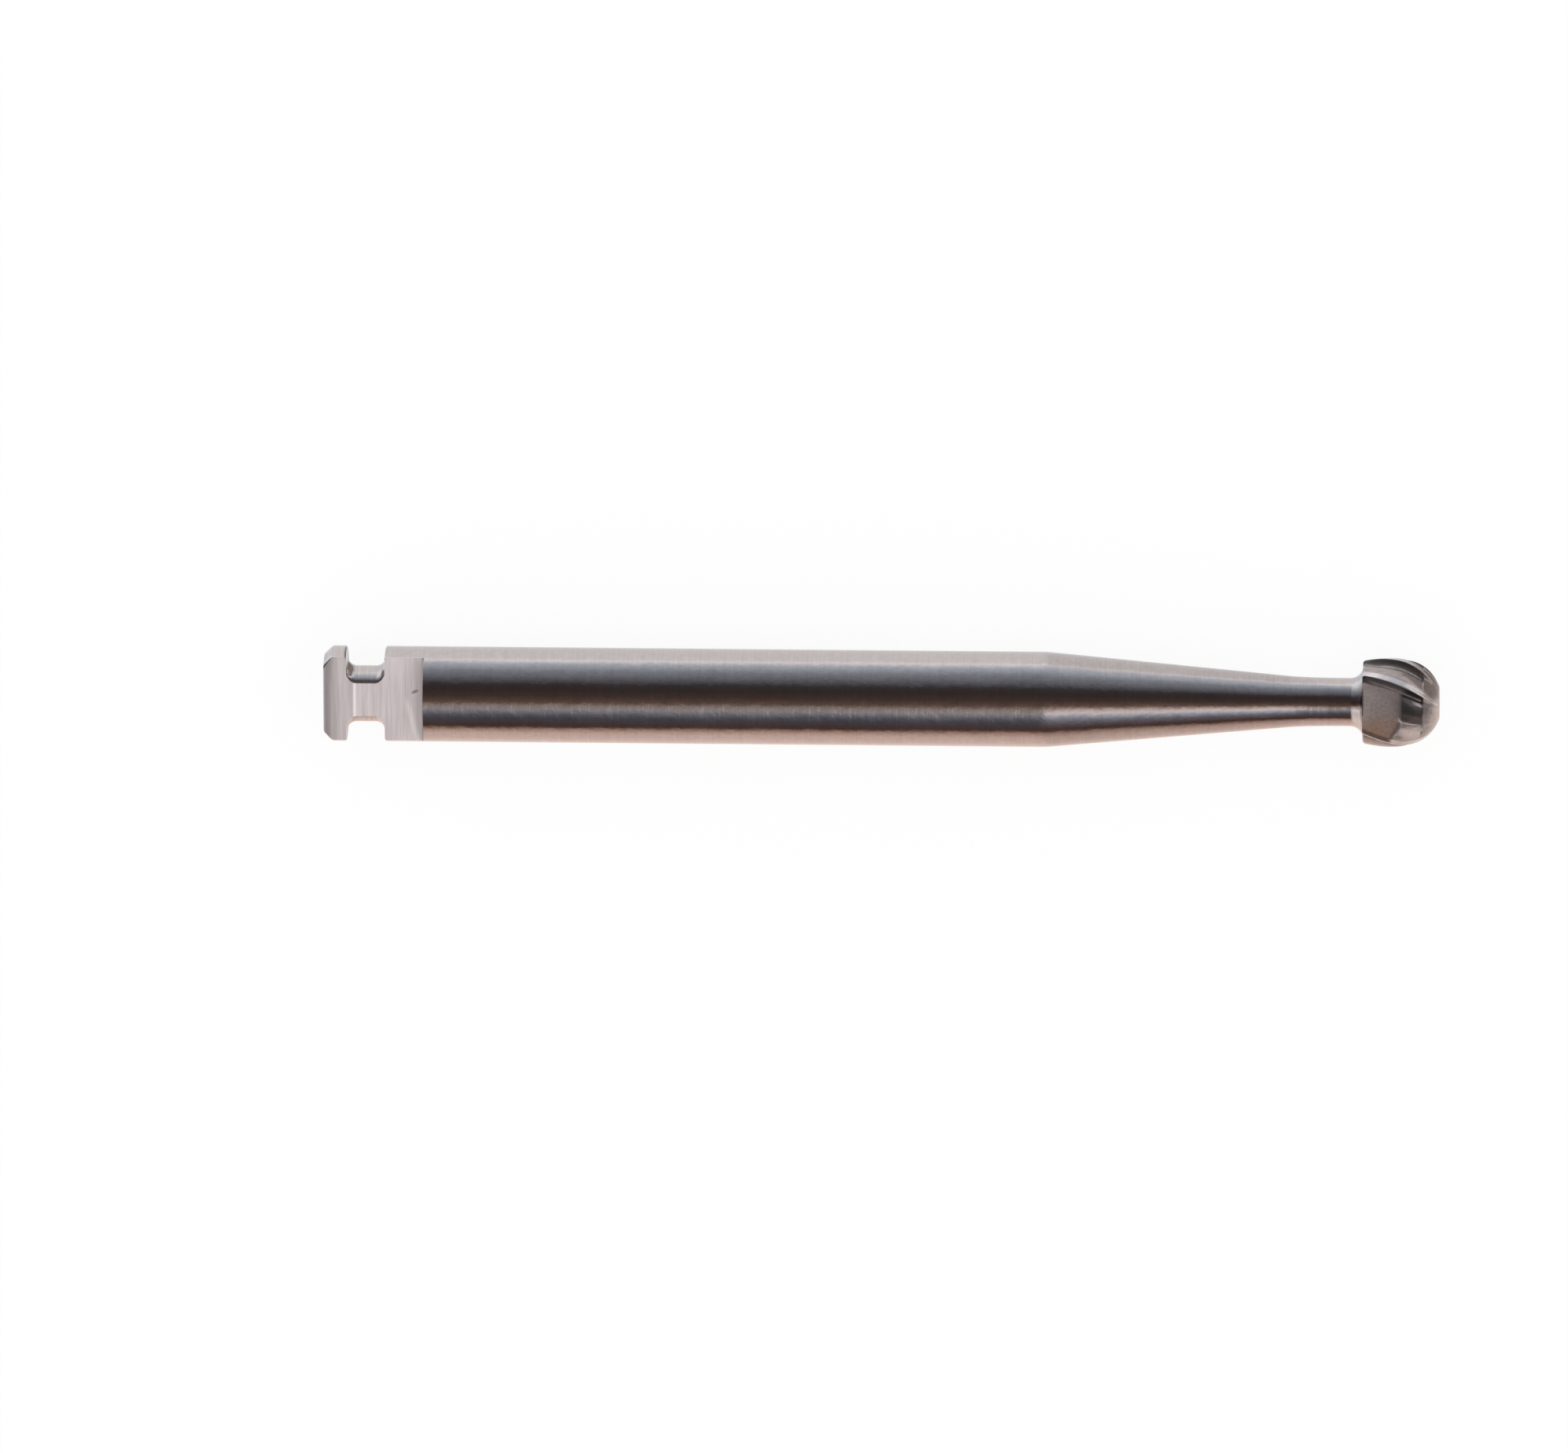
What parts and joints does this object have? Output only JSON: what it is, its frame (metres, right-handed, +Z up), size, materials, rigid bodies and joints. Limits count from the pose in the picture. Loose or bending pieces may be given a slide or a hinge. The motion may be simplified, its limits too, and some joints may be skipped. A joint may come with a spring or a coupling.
{
  "type": "round carbide burr",
  "caption": "Round-headed carbide burr with helical cutting teeth, a slim tapered neck and a right-angle latch shank with a groove and a drive flat.",
  "frame": {"origin": "on the surface that the burr lies on, below the middle of its length", "axes": "+X along the burr from the latch end to the cutting tip, +Z up out of the drive flat"},
  "size_m": [0.0274, 0.0024, 0.0023],
  "materials": {
    "steel": "ground and polished, cross-milled on the drive flat",
    "carbide": "ground tungsten carbide, satin, brighter on the lands"
  },
  "bodies": {
    "root": {"shank": "steel", "head": "carbide"}
  },
  "joints": []
}
